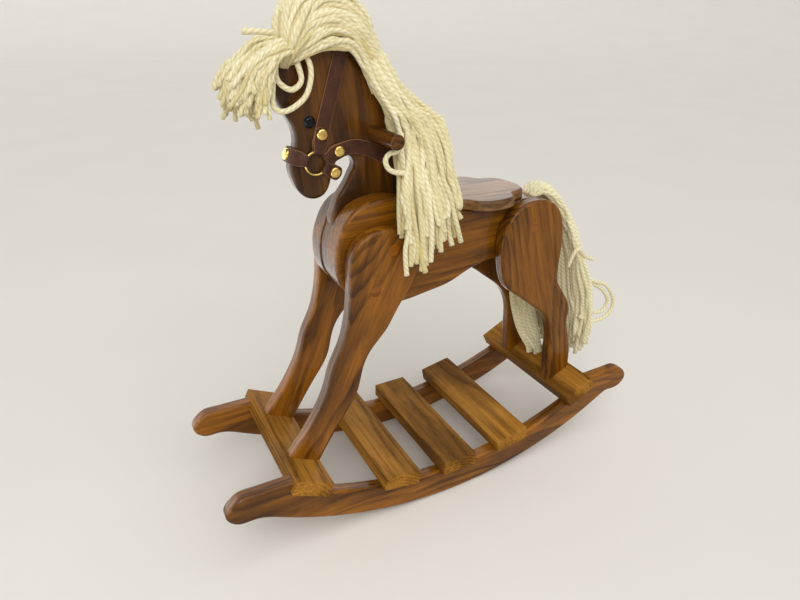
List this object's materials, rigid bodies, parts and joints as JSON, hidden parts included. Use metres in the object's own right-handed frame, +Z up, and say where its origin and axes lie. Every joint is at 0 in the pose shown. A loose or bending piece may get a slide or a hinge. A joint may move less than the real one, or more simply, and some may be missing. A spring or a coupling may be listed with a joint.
{
  "type": "rocking horse",
  "caption": "Wooden toy rocking horse of shaped boards on curved rockers tied by cross slats, with a dowel handle, saddle seat, leather bridle with loose brass rings, and yarn mane and tail.",
  "frame": {"origin": "on the floor, under the middle of the rockers", "axes": "+X towards the horse's head, +Y to its left, +Z up"},
  "size_m": [0.604, 0.205, 0.5888],
  "materials": {
    "stained_oak": "dark stained oak under gloss varnish",
    "slat_oak": "stained oak, straight grain, satin varnish",
    "plug_oak": "end grain under gloss varnish",
    "pin_beech": "raw, fluted",
    "screw_steel": "zinc plated",
    "eye_black": "gloss",
    "bridle_leather": "smooth dark red-brown, tan cut edges",
    "brass": "polished",
    "cream_yarn": "plied wool yarn"
  },
  "bodies": {
    "horse": {"left_rocker": "stained_oak", "right_rocker": "stained_oak", "left_front_leg": "stained_oak", "right_front_leg": "stained_oak", "left_hind_leg": "stained_oak", "right_hind_leg": "stained_oak", "left_body_side": "stained_oak", "right_body_side": "stained_oak", "neck_head_board": "stained_oak", "body_core": "stained_oak", "saddle_seat": "stained_oak", "handle_dowel": "stained_oak", "front_slat": "slat_oak", "front_middle_slat": "slat_oak", "middle_slat": "slat_oak", "rear_middle_slat": "slat_oak", "rear_slat": "slat_oak", "leg_plugs": "plug_oak", "slat_pins": "pin_beech", "seat_pins": "pin_beech", "foot_screws": "screw_steel", "leg_screws": "screw_steel", "left_eye": "eye_black", "right_eye": "eye_black", "noseband": "bridle_leather", "chin_strap": "bridle_leather", "headstall": "bridle_leather", "reins": "bridle_leather", "left_bridle_rivets": "brass", "right_bridle_rivets": "brass", "nose_rivet": "brass", "mane_crest": "cream_yarn"},
    "left_ring": {"left_bit_ring": "brass"},
    "right_ring": {"right_bit_ring": "brass"},
    "mane": {"mane_fall": "cream_yarn"},
    "forelock": {"forelock": "cream_yarn"},
    "tail": {"tail": "cream_yarn"}
  },
  "joints": [
    {"name": "left_ring_spin", "type": "hinge", "parent": "horse", "child": "left_ring", "pos_m": [0.145, 0.013, 0.444], "axis": [0, 1, 0], "continuous": true},
    {"name": "right_ring_spin", "type": "hinge", "parent": "horse", "child": "right_ring", "pos_m": [0.145, -0.013, 0.444], "axis": [0, 1, 0], "continuous": true},
    {"name": "mane_lift", "type": "hinge", "parent": "horse", "child": "mane", "pos_m": [0.08, 0.0163, 0.534], "axis": [1, 0, 0], "range_deg": [0, 70]},
    {"name": "forelock_lift", "type": "hinge", "parent": "horse", "child": "forelock", "pos_m": [0.1435, 0, 0.582], "axis": [0, -1, 0], "range_deg": [0, 60]},
    {"name": "tail_swing", "type": "hinge", "parent": "horse", "child": "tail", "pos_m": [-0.154, 0, 0.386], "axis": [0, 1, 0], "range_deg": [0, 60]}
  ]
}
